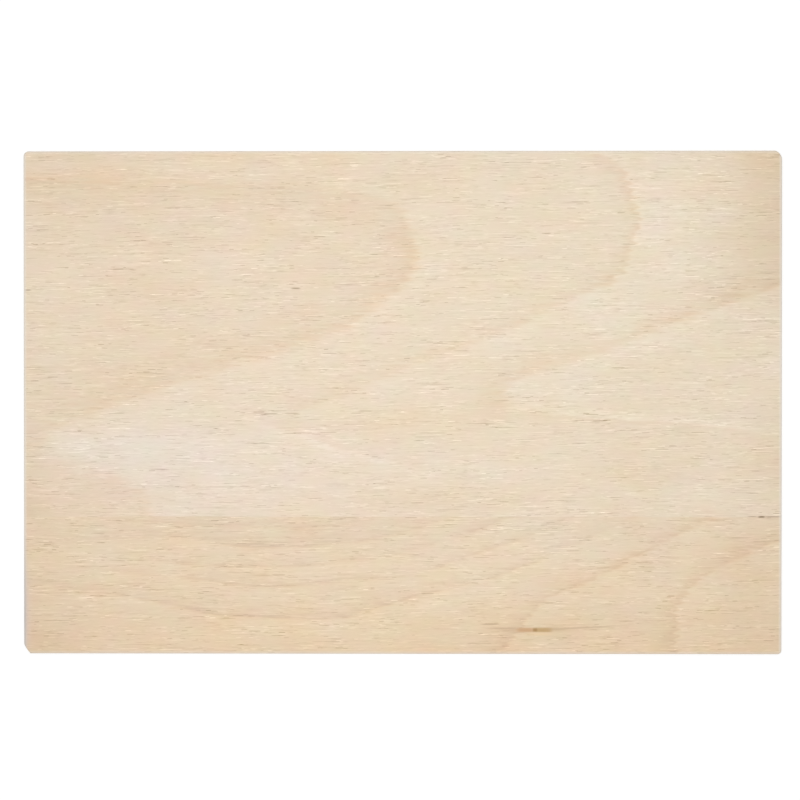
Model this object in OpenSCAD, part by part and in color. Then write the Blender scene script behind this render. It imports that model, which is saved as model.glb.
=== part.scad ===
// Plywood sheet: one glued, sawn and sanded panel that lies flat on its back veneer.
// Millimetres. The origin is under the middle of the sheet, +Z points up out of the
// face veneer, and the grain of the face runs along X.

/* [Sheet] */
// Length along the grain of the face
sheet_length = 300; // [50:1:2500]
// Width across the grain of the face
sheet_width = 199; // [50:1:1250]
// Thickness of the whole panel, from back to face
sheet_thickness = 4; // [3:0.5:30]

/* [Edges] */
// Radius of the four corners, seen from above
corner_radius = 2; // [1.5:0.5:20]
// Radius of the sanded arris all round the face and the back
arris_radius = 0.5; // [0.2:0.1:1.4]

/* [Hidden] */
$fn = 64;

veneer_colour = "#e8d5bc";
// Length of the straight part of each side, between the rounded corners
straight_length = sheet_length - 2 * corner_radius;
straight_width = sheet_width - 2 * corner_radius;

// Section square through the sheet: span wide, standing on the X axis, with its arrises rounded
module edge_section(span) {
    face_span = span - 2 * arris_radius;
    edge_height = sheet_thickness - 2 * arris_radius;
    translate([-face_span / 2, 0]) square([face_span, sheet_thickness]);
    translate([-span / 2, arris_radius]) square([span, edge_height]);
    for (side = [-1, 1], level = [arris_radius, sheet_thickness - arris_radius])
        translate([side * face_span / 2, level]) circle(arris_radius);
}

// The sheet's section along its length, which carries the two long edges
module long_edges() {
    rotate([90, 0, 90])
        linear_extrude(height = straight_length, center = true)
            edge_section(sheet_width);
}

// The sheet's section along its width, which carries the two short edges
module short_edges() {
    rotate([90, 0, 0])
        linear_extrude(height = straight_width, center = true)
            edge_section(sheet_length);
}

// One corner: the edge's own section, swung through a quarter turn
module corner() {
    rotate_extrude(angle = 90)
        intersection() {
            edge_section(2 * corner_radius);
            square([corner_radius, sheet_thickness]);
        }
}

module plywood_sheet() {
    color(veneer_colour)
        union() {
            long_edges();
            short_edges();
            for (turn = [0 : 90 : 270])
                translate([
                    sign(cos(turn + 45)) * straight_length / 2,
                    sign(sin(turn + 45)) * straight_width / 2
                ])
                    rotate(turn) corner();
        }
}

plywood_sheet();
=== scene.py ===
"""Dresses the plywood sheet: one sanded three-ply panel that lies face up on a pale studio floor.

Meshes are in metres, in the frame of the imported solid. Places on the sheet are written in
millimetres from its middle, X along the grain of the face and Y across it. Tones are written in
steps, where one step is one level of 255 on screen.
"""
import logging
import math
from dataclasses import dataclass
from enum import Enum
from functools import reduce
from operator import add
from typing import NamedTuple

import bpy
import numpy as np
from mathutils import Matrix, Vector


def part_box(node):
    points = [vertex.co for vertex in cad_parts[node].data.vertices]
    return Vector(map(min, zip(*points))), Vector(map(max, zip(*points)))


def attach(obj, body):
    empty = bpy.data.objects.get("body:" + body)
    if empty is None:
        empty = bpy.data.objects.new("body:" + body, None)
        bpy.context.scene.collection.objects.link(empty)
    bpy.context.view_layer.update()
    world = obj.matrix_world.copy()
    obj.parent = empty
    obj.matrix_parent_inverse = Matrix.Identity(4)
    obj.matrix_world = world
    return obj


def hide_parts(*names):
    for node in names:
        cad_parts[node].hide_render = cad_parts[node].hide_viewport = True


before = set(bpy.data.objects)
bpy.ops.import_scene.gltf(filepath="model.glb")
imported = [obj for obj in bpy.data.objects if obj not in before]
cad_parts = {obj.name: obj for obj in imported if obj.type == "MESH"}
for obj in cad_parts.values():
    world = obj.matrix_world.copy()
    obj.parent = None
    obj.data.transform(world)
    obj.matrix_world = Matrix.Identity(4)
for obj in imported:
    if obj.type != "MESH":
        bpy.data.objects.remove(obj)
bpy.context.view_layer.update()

log = logging.getLogger("plywood_sheet")

MM = 0.001
SHEET_NODE = "plywood_sheet"
SHEET_BODY = "root"
PIECE = "sheet"
FORM = "Sheet form"
BAKE_MAP = "OFBake"
FLOAT = "NodeSocketFloat"
COLOUR = "NodeSocketColor"
WHITE = (1.0, 1.0, 1.0, 1.0)
# Keeps a division off 0.
TINY = 0.000001

Socket = bpy.types.NodeSocket
Point = tuple[float, float]
Colour = tuple[float, float, float]


def linear(colour: Colour) -> tuple[float, float, float, float]:
    """Turns a colour as a screen shows it into the one that a shader takes.

    Args:
        colour: Red, green and blue, each from 0 to 255.

    Returns:
        Red, green, blue and an alpha of 1, as linear light.
    """
    # A screen's curve is straight near black and a power above that.
    top, straight_end, straight_slope, offset, power = 255, 0.04045, 12.92, 0.055, 2.4
    light = []
    for level in colour:
        share = level / top
        straight = share <= straight_end
        light.append(share / straight_slope if straight else ((share + offset) / (1 + offset)) ** power)
    return light[0], light[1], light[2], 1.0


def add_object(name: str, data: bpy.types.ID) -> bpy.types.Object:
    """Makes an object and puts it into the scene.

    Args:
        name: The object's name.
        data: Its mesh, lamp or camera.

    Returns:
        The new object.
    """
    made = bpy.data.objects.new(name, data)
    bpy.context.scene.collection.objects.link(made)
    return made


def read_all(
    items: bpy.types.bpy_prop_collection, name: str, width: int = 1, kind: type = float
) -> np.ndarray:
    """Reads one property of all the vertices, loops or faces of a mesh.

    Args:
        items: The vertices, the loops or the faces.
        name: The property.
        width: How many numbers it has.
        kind: The kind of number.

    Returns:
        One number or one row of numbers for each item.
    """
    values = np.empty(len(items) * width, dtype=kind)
    items.foreach_get(name, values)
    return values.reshape(-1, width) if width > 1 else values


class Value:
    """What a node gives, most often a number. Reckoning with it adds nodes to the same tree."""

    def __init__(self, bench: "NodeBench", socket: Socket) -> None:
        """Keeps the socket that gives the value, and the bench for its tree."""
        self.bench = bench
        self.socket = socket

    def __add__(self, other: "Term") -> "Value":
        """Adds another number."""
        return self.apply("ADD", other)

    def __radd__(self, other: float) -> "Value":
        """Adds to a plain number."""
        return self.apply("ADD", other)

    def __sub__(self, other: "Term") -> "Value":
        """Takes another number away."""
        return self.apply("SUBTRACT", other)

    def __rsub__(self, other: float) -> "Value":
        """Takes away from a plain number."""
        return self.bench.math("SUBTRACT", other, self)

    def __mul__(self, other: "Term") -> "Value":
        """Multiplies by another number."""
        return self.apply("MULTIPLY", other)

    def __truediv__(self, other: "Term") -> "Value":
        """Divides by another number."""
        return self.apply("DIVIDE", other)

    def __rtruediv__(self, other: float) -> "Value":
        """Divides a plain number."""
        return self.bench.math("DIVIDE", other, self)

    def __pow__(self, other: "Term") -> "Value":
        """Raises to a power."""
        return self.apply("POWER", other)

    def __neg__(self) -> "Value":
        """Turns the sign."""
        return self * -1.0

    def __abs__(self) -> "Value":
        """Drops the sign."""
        return self.apply("ABSOLUTE")

    def __gt__(self, other: "Term") -> "Value":
        """Gives 1 where the number is larger than another one, and 0 elsewhere."""
        return self.apply("GREATER_THAN", other)

    def __lt__(self, other: "Term") -> "Value":
        """Gives 1 where the number is smaller than another one, and 0 elsewhere."""
        return self.apply("LESS_THAN", other)

    def apply(self, operation: str, *others: "Term") -> "Value":
        """Does any operation of the Math node, by Blender's name for it."""
        return self.bench.math(operation, self, *others)

    def at_least(self, other: "Term") -> "Value":
        """Gives the larger of two numbers."""
        return self.apply("MAXIMUM", other)

    def at_most(self, other: "Term") -> "Value":
        """Gives the smaller of two numbers."""
        return self.apply("MINIMUM", other)

    def times_plus(self, factor: "Term", base: "Term") -> "Value":
        """Multiplies by one number and adds another, in one node."""
        return self.apply("MULTIPLY_ADD", factor, base)

    def remap(
        self, low: "Term", high: "Term", to_low: "Term" = 0.0, to_high: "Term" = 1.0, smooth: bool = True
    ) -> "Value":
        """Turns one range into another, held at both ends.

        Args:
            low: Where the old range begins.
            high: Where the old range ends.
            to_low: What low becomes.
            to_high: What high becomes.
            smooth: Whether the change eases in and out.

        Returns:
            The new value.
        """
        inputs = {"Value": self, "From Min": low, "From Max": high, "To Min": to_low, "To Max": to_high}
        kind = "SMOOTHSTEP" if smooth else "LINEAR"
        return self.bench.value("ShaderNodeMapRange", inputs, interpolation_type=kind)

    def lerp(self, low: "Term", high: "Term") -> "Value":
        """Mixes two numbers, with this one as the share of the second."""
        share, first, second = self.bench.value_sockets
        return self.bench.value("ShaderNodeMix", {share: self, first: low, second: high})

    def blend(self, low: object, high: object) -> "Value":
        """Mixes two colours, with this number as the share of the second."""
        return self.bench.blend(self, low, high)


Term = float | Value


def total(*terms: Term) -> Value:
    """Adds up terms, of which at least one is a value."""
    return reduce(add, terms)


class NodeBench:
    """Adds nodes to one node tree and links them as they come."""

    # Where the Mix node takes its share, its first and its second, for values and for colours, and where it
    # gives the colour.
    value_sockets = (0, 2, 3)
    colour_sockets = (0, 6, 7)
    colour_result = 2

    def __init__(self, tree: bpy.types.NodeTree) -> None:
        """Keeps the tree that the nodes go into."""
        self.tree = tree

    @classmethod
    def cleared(cls, owner: bpy.types.Material | bpy.types.World) -> "NodeBench":
        """Empties the node tree of a material or a world.

        Args:
            owner: What the tree belongs to.

        Returns:
            A bench on the empty tree.
        """
        owner.use_nodes = True
        owner.node_tree.nodes.clear()
        return cls(owner.node_tree)

    def feed(self, socket: Socket, term: object) -> None:
        """Links a socket to another one, or sets its own value.

        Args:
            socket: The input to feed.
            term: A value of the tree, an output socket, or a plain value.
        """
        source = term.socket if isinstance(term, Value) else term
        if isinstance(source, bpy.types.NodeSocket):
            self.tree.links.new(source, socket)
        else:
            socket.default_value = source

    def put(
        self, kind: str, inputs: dict[str | int, object] | None = None, **settings: object
    ) -> bpy.types.Node:
        """Adds one node.

        Args:
            kind: Blender's name for the node type.
            inputs: What its inputs take, by name or by number.
            settings: Properties of the node itself.

        Returns:
            The new node.
        """
        node = self.tree.nodes.new(kind)
        for name, value in settings.items():
            setattr(node, name, value)
        for key, term in (inputs or {}).items():
            self.feed(node.inputs[key], term)
        return node

    def value(self, kind: str, inputs: dict[str | int, object], **settings: object) -> Value:
        """Adds one node and gives its first output."""
        return Value(self, self.put(kind, inputs, **settings).outputs[0])

    def math(self, operation: str, *terms: Term) -> Value:
        """Adds a Math node, by Blender's name for its operation."""
        return self.value("ShaderNodeMath", dict(enumerate(terms)), operation=operation)

    def join(self, x: Term, y: Term, z: Term = 0.0) -> Socket:
        """Makes a vector of two or three values."""
        return self.put("ShaderNodeCombineXYZ", {"X": x, "Y": y, "Z": z}).outputs["Vector"]

    def split(self, vector: Socket) -> list[Value]:
        """Gives the three values of a vector."""
        return [Value(self, axis) for axis in self.put("ShaderNodeSeparateXYZ", {"Vector": vector}).outputs]

    def kept(self, name: str) -> list[Value]:
        """Gives the three values that the mesh keeps under a name."""
        return self.split(self.put("ShaderNodeAttribute", attribute_name=name).outputs["Vector"])

    def blend(self, share: Term, low: object, high: object, how: str = "MIX") -> Value:
        """Mixes two colours.

        Args:
            share: The share of the second colour.
            low: The first colour.
            high: The second colour.
            how: Blender's name for the way that they are mixed.

        Returns:
            The mixed colour.
        """
        inputs = dict(zip(self.colour_sockets, (share, low, high)))
        node = self.put("ShaderNodeMix", inputs, data_type="RGBA", blend_type=how)
        return Value(self, node.outputs[self.colour_result])

    def surface(self, inputs: dict[str, object]) -> None:
        """Adds the shader of a surface and makes it the material's own."""
        shader = self.put("ShaderNodeBsdfPrincipled", inputs)
        self.put("ShaderNodeOutputMaterial", {"Surface": shader.outputs["BSDF"]})


@dataclass(frozen=True)
class Drift:
    """A change without a pattern: how long one swing is on each axis, how strong it is and how fine.

    The seed moves the place that it is read at, to keep one change apart from another.
    """

    swing: tuple[float, ...]
    depth: float
    detail: float = 0.0
    seed: float = 0.0

    def noise(self, *places: Value) -> Value:
        """Adds the change as if its depth were 1.

        Args:
            places: The place to read it at, one value for each axis.

        Returns:
            The change, from about -1 to 1.
        """
        bench = places[0].bench
        spots = [place.times_plus(1 / swing, self.seed) for place, swing in zip(places, self.swing)]
        inputs = {"Vector": bench.join(*spots), "Scale": 1.0, "Detail": self.detail}
        return bench.value("ShaderNodeTexNoise", inputs, noise_dimensions=f"{len(spots)}D", normalize=False)

    def over(self, base: Term, *places: Value) -> Value:
        """Adds the change to a value."""
        return self.noise(*places).times_plus(self.depth, base)

    def share(self, *places: Value) -> Value:
        """Adds a share that changes about 1 and never falls below 0."""
        return self.over(1.0, *places).at_least(0.0)


class Effect:
    """A shader node group, built the first time that a finish places it."""

    name = ""
    takes: tuple[str, ...] = ()
    gives: tuple[str, ...] = ()
    kind = FLOAT

    def build(self, given: dict[str, Value]) -> dict[str, Value]:
        """Fills the group with nodes.

        Args:
            given: The group's inputs by name.

        Returns:
            What each of the group's outputs takes, by name.
        """
        raise NotImplementedError

    def tree(self) -> bpy.types.NodeTree:
        """Gives the group's node tree, which it makes if there is none yet.

        Returns:
            The tree.
        """
        found = bpy.data.node_groups.get(self.name)
        if found:
            return found
        made = bpy.data.node_groups.new(self.name, "ShaderNodeTree")
        for socket in self.takes:
            made.interface.new_socket(name=socket, in_out="INPUT", socket_type=FLOAT)
        for socket in self.gives:
            made.interface.new_socket(name=socket, in_out="OUTPUT", socket_type=self.kind)
        bench = NodeBench(made)
        entry = bench.put("NodeGroupInput")
        given = {socket: Value(bench, entry.outputs[socket]) for socket in self.takes}
        bench.put("NodeGroupOutput", self.build(given))
        return made

    def place(self, first: Value, *others: Term) -> list[Value]:
        """Puts the group into a material.

        Args:
            first: What its first input takes.
            others: What its other inputs take, in their order.

        Returns:
            Its outputs, in their order.
        """
        inputs = dict(zip(self.takes, (first, *others)))
        node = first.bench.put("ShaderNodeGroup", inputs, node_tree=self.tree())
        return [Value(first.bench, socket) for socket in node.outputs]


class SoftPatch(Effect):
    """A patch that fades out from its middle, oval where it is soft and squarer the harder it is."""

    name = "Soft patch"
    takes = ("X", "Y", "Centre X", "Centre Y", "Reach X", "Reach Y", "Slope", "Hardness")
    gives = ("Mask",)

    def build(self, given: dict[str, Value]) -> dict[str, Value]:
        """Fills the group with nodes.

        Args:
            given: The group's inputs by name.

        Returns:
            The patch's mask.
        """
        off_x = given["X"] - given["Centre X"]
        off_y = given["Y"] - given["Centre Y"] - off_x * given["Slope"]
        shares = off_x / given["Reach X"], off_y / given["Reach Y"]
        falls = [(share * share) ** given["Hardness"] for share in shares]
        return {"Mask": (-total(*falls)).apply("EXPONENT")}


class RingTone(Effect):
    """The wood beside one growth ring's border: dark pink late wood behind it, pale early wood ahead."""

    name = "Ring tone"
    takes = (
        "Distance", "Strength", "Presence", "Softness", "Side", "Late", "Late Reach",
        "Early", "Early Reach", "Core", "Cool",
    )
    gives = ("Tone", "Warmth", "Pink", "Fleck")
    # A border gets softer as its line gets weaker, down to this strength.
    weakest = 0.2
    # The yellow first wood of a ring: its width in millimetres, and its warmth in steps.
    first_reach = 1.8
    first_warmth = 4.5
    # How pink late wood is, in steps.
    late_pink = 3.0
    # The dark core of a line, in millimetres: how far behind the border it lies, and where it fades.
    core_depth = 0.35
    core_fade = (0.15, 0.6)

    def build(self, given: dict[str, Value]) -> dict[str, Value]:
        """Fills the group with nodes.

        Args:
            given: The group's inputs by name.

        Returns:
            The tone, the warmth, the pinkness and the dark core in steps.
        """
        distance = given["Distance"]
        softness = given["Softness"] / given["Strength"].at_least(self.weakest)
        strength = given["Strength"] * given["Presence"]
        pale_side = distance.remap(-softness, softness)
        dark_side = 1.0 - pale_side
        behind = distance.at_most(0.0)
        ahead = -distance.at_least(0.0)
        late = (behind / given["Late Reach"]).apply("EXPONENT") * dark_side * strength
        early = (ahead / given["Early Reach"]).apply("EXPONENT") * pale_side * strength
        first = (ahead / self.first_reach).apply("EXPONENT") * pale_side * strength
        dark = given["Late"] * late
        core = abs(distance + self.core_depth).remap(*self.core_fade, strength, 0.0)
        return {
            "Tone": given["Early"].times_plus(early, given["Side"].times_plus(dark_side, dark)),
            "Warmth": first.times_plus(self.first_warmth, dark * given["Cool"]),
            "Pink": late * self.late_pink,
            "Fleck": core * given["Core"],
        }


class RayFlecks(Effect):
    """Short dashes along the grain, each darker or paler than the ground by its own amount."""

    name = "Ray flecks"
    takes = ("Along", "Across", "Pitch Along", "Pitch Across", "Half Length", "Half Width", "Rarity", "Seed")
    gives = ("Fleck",)
    # How far each row of cells is pushed along the one below it, so that no columns show.
    skew = 0.618
    # The shortest dash as a share of the longest, and the shares of a dash that are at full strength.
    shortest = 0.3
    full_length = 0.7
    full_width = 0.3
    # The strength of the borders that set a dash off from the ground, and where they fade, in half widths.
    border = 0.3
    border_fade = (1.4, 2.6)
    # The palest fleck beside the darkest one.
    pale_share = 0.93

    def build(self, given: dict[str, Value]) -> dict[str, Value]:
        """Fills the group with nodes.

        Args:
            given: The group's inputs by name.

        Returns:
            The fleck's strength, from -1 for the darkest to nearly 1 for the palest.
        """
        bench = given["Along"].bench
        across = given["Across"] / given["Pitch Across"] + given["Seed"]
        skewed = across.times_plus(self.skew, given["Along"] / given["Pitch Along"])
        inputs = {"Vector": bench.join(skewed, across), "Scale": 1.0}
        cells = bench.put("ShaderNodeTexVoronoi", inputs, voronoi_dimensions="2D").outputs
        middle_along, middle_across, _ = bench.split(cells["Position"])
        chances = bench.put("ShaderNodeSeparateColor", {"Color": cells["Color"]}).outputs
        mood, size = Value(bench, chances["Red"]), Value(bench, chances["Green"])
        off_across = across - middle_across
        off_along = off_across.times_plus(-self.skew, skewed - middle_along)
        longest = given["Half Length"] / given["Pitch Along"]
        length = longest * size.remap(0.0, 1.0, self.shortest, 1.0, False)
        width = given["Half Width"] / given["Pitch Across"]
        end = abs(off_along / length)
        side = abs(off_across / width)
        core = side.remap(self.full_width, 1.0, 1.0 + self.border, 0.0)
        border = side.remap(*self.border_fade, self.border, 0.0)
        shape = end.remap(self.full_length, 1.0, 1.0, 0.0) * (core - border)
        swing = mood.remap(0.0, 1.0, -1.0, self.pale_share, False)
        return {"Fleck": abs(swing) ** given["Rarity"] * swing.apply("SIGN") * shape}


class FibreStreaks(Effect):
    """The finest figure of the wood: thin streaks along the grain, most of them weak."""

    name = "Fibre streaks"
    takes = ("Along", "Across", "Swing Along", "Swing Across", "Seed")
    gives = ("Streak",)
    fibre = Drift((1.0, 1.0), 1.0, detail=1.0)

    def build(self, given: dict[str, Value]) -> dict[str, Value]:
        """Fills the group with nodes.

        Args:
            given: The group's inputs by name.

        Returns:
            The streak's strength, about 0.
        """
        places = [given[axis] / given[f"Swing {axis}"] + given["Seed"] for axis in ("Along", "Across")]
        swing = self.fibre.noise(*places)
        return {"Streak": swing * abs(swing)}


class VeneerColour(Effect):
    """The colour of bare sanded veneer for its tone, its warmth, its pinkness and its flecks."""

    name = "Veneer colour"
    takes = ("Tone", "Warmth", "Pink", "Fleck")
    gives = ("Color",)
    kind = COLOUR
    # Tones in steps from the ground, and the colour of the wood there.
    stops: tuple[tuple[float, Colour], ...] = (
        (-32.0, (206, 176, 142)),
        (-16.0, (220, 196, 165)),
        (-6.5, (228, 206, 177)),
        (0.0, (232, 213, 187)),
        (8.0, (237, 221, 199)),
        (16.0, (242, 229, 212)),
    )
    # How far one step of warmth, of pink and of fleck moves red, green and blue, as shares of each.
    warm_shares: Colour = (0.004, -0.001, -0.008)
    pink_shares: Colour = (0.002, -0.003, 0.002)
    fleck_shares: Colour = (0.0093, 0.0104, 0.0122)

    def build(self, given: dict[str, Value]) -> dict[str, Value]:
        """Fills the group with nodes.

        Args:
            given: The group's inputs by name.

        Returns:
            The colour.
        """
        bench = given["Tone"].bench
        darkest, palest = self.stops[0][0], self.stops[-1][0]
        ramp = bench.put("ShaderNodeValToRGB", {"Fac": given["Tone"].remap(darkest, palest, smooth=False)})
        marks = ramp.color_ramp.elements
        marks[0].color = linear(self.stops[0][1])
        marks[1].color = linear(self.stops[-1][1])
        for tone, colour in self.stops[1:-1]:
            marks.new((tone - darkest) / (palest - darkest)).color = linear(colour)
        shares = []
        for warm, pink, fleck in zip(self.warm_shares, self.pink_shares, self.fleck_shares):
            share = given["Pink"].times_plus(pink, given["Warmth"].times_plus(warm, 1.0))
            shares.append(given["Fleck"].times_plus(fleck, share))
        light = bench.put("ShaderNodeCombineColor", dict(zip(("Red", "Green", "Blue"), shares)))
        return {"Color": bench.blend(1.0, ramp.outputs["Color"], light.outputs["Color"], "MULTIPLY")}


class Part(Enum):
    """The parts of the sheet's surface, each named for its finish."""

    EDGE = "Sawn edge"
    FACE = "Face veneer"
    BACK = "Back veneer"


class Place(NamedTuple):
    """A place in the sheet, in millimetres: along it and across it from its middle, and up from its back."""

    x: Value
    y: Value
    z: Value


class Figure(NamedTuple):
    """What the wood shows at a place, all in steps."""

    tone: Value
    warmth: Value
    pink: Term
    fleck: Value


@dataclass(frozen=True)
class RingLine:
    """The border of one growth ring as the veneer's face shows it.

    Each point is an X, a Y and a share of the line's full strength. Walked from its first point, the line
    has dark late wood on its left and pale early wood on its right. Side, late, early and core are tones in
    steps, reaches and softness are in millimetres, and cool is how much warmth the late wood loses for each
    step that it is darker. Steps is how many short spans join two points.
    """

    name: str
    points: tuple[tuple[float, float, float], ...]
    side: float = 0.0
    late: float = -5.0
    late_reach: float = 2.0
    early: float = 1.0
    early_reach: float = 5.0
    softness: float = 0.8
    core: float = 0.0
    cool: float = 0.0
    steps: int = 8

    def path(self) -> np.ndarray:
        """Draws the line as a fine chain through its points.

        Returns:
            Rows of X, Y and strength.
        """
        knots = np.array(self.points, dtype=float)
        ends = 2 * knots[0] - knots[1], 2 * knots[-1] - knots[-2]
        padded = np.vstack([ends[0], knots, ends[1]])
        share = np.linspace(0.0, 1.0, self.steps, endpoint=False)[:, None]
        spans = []
        # Each span is a cubic through its own two points, which leans along their neighbours.
        for a, b, c, d in zip(padded, padded[1:], padded[2:], padded[3:]):
            bend = (2 * a - 5 * b + 4 * c - d) * share**2 + (3 * b - a - 3 * c + d) * share**3
            spans.append(b + ((c - a) * share + bend) / 2)
        return np.vstack([*spans, knots[-1:]])

    def measure(self, places: np.ndarray) -> np.ndarray:
        """Works out how places lie to the line.

        Args:
            places: Rows of X and Y in millimetres.

        Returns:
            Rows of the distance to the line in millimetres, which is below 0 in the late wood, the line's
            strength there, and how fast the distance grows along X.
        """
        path = self.path()
        nearest = np.full(len(places), np.inf)
        found = np.zeros((len(places), 3))
        for begin, step in zip(path, np.diff(path, axis=0)):
            off = places - begin[:2]
            length = math.hypot(step[0], step[1])
            share = np.clip(off @ step[:2] / length**2, 0.0, 1.0)
            gap = np.linalg.norm(off - share[:, None] * step[:2], axis=1)
            side = np.sign(off[:, 0] * step[1] - off[:, 1] * step[0])
            closer = gap < nearest
            nearest[closer] = gap[closer]
            lean = np.full(len(places), step[1] / length)
            here = np.column_stack([side * gap, begin[2] + share * step[2], lean])
            found[closer] = here[closer]
        return found

    def figure(self, tear: Value, presence: Value) -> Figure:
        """Adds the line's figure, from what the mesh knows about the line.

        Args:
            tear: How far the border is drawn out along the grain, in millimetres.
            presence: A share about 1 that the line comes and goes with.

        Returns:
            The line's own part of the wood's figure, with its dark core as fleck.
        """
        distance, strength, lean = tear.bench.kept(self.name)
        own = (self.softness, self.side, self.late, self.late_reach, self.early, self.early_reach)
        torn = tear.times_plus(lean, distance)
        return Figure(*RingTone().place(torn, strength, presence, *own, self.core, self.cool))


@dataclass(frozen=True)
class HairLine(RingLine):
    """A ring so narrow that its late wood shows as a thin greyish line."""

    late: float = -8.0
    late_reach: float = 2.0
    softness: float = 1.1
    core: float = -2.0
    cool: float = 0.55


@dataclass(frozen=True)
class Bloom:
    """A soft oval patch that differs from the veneer round it by a tone, a warmth and a pinkness in steps."""

    centre: Point
    reach: Point
    tone: float
    warmth: float = 0.0
    pink: float = 0.0

    def measure(self, places: np.ndarray) -> np.ndarray:
        """Works out what the patch adds.

        Args:
            places: Rows of X and Y in millimetres.

        Returns:
            Rows of tone, warmth and pinkness, in steps.
        """
        share = (places - np.array(self.centre)) / np.array(self.reach)
        mask = np.exp(-(share**2).sum(axis=1))
        return mask[:, None] * np.array([self.tone, self.warmth, self.pink])


@dataclass(frozen=True)
class VeneerLeaf:
    """One leaf of veneer, with the growth rings and the soft patches that it shows."""

    name: str
    ground: float
    warmth: float
    lines: tuple[RingLine, ...]
    blooms: tuple[Bloom, ...]

    def measure(self, places: np.ndarray) -> dict[str, np.ndarray]:
        """Works out what the leaf's finish reads from the mesh.

        Args:
            places: Rows of X and Y in millimetres.

        Returns:
            Rows of three values for each attribute, by the attribute's name.
        """
        ground = np.array([self.ground, self.warmth, 0.0])
        known = {self.name: ground + sum(bloom.measure(places) for bloom in self.blooms)}
        for line in self.lines:
            known[line.name] = line.measure(places)
        return known

    def figure(self, tear: Value, presence: Value) -> Figure:
        """Adds up the leaf's figure.

        Args:
            tear: How far the rings' borders are drawn out along the grain, in millimetres.
            presence: A share about 1 that the rings come and go with.

        Returns:
            The leaf's ground and all of its lines.
        """
        ground = (*tear.bench.kept(self.name), 0.0)
        lines = [line.figure(tear, presence) for line in self.lines]
        return Figure(*(total(*terms) for terms in zip(ground, *lines)))


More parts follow.
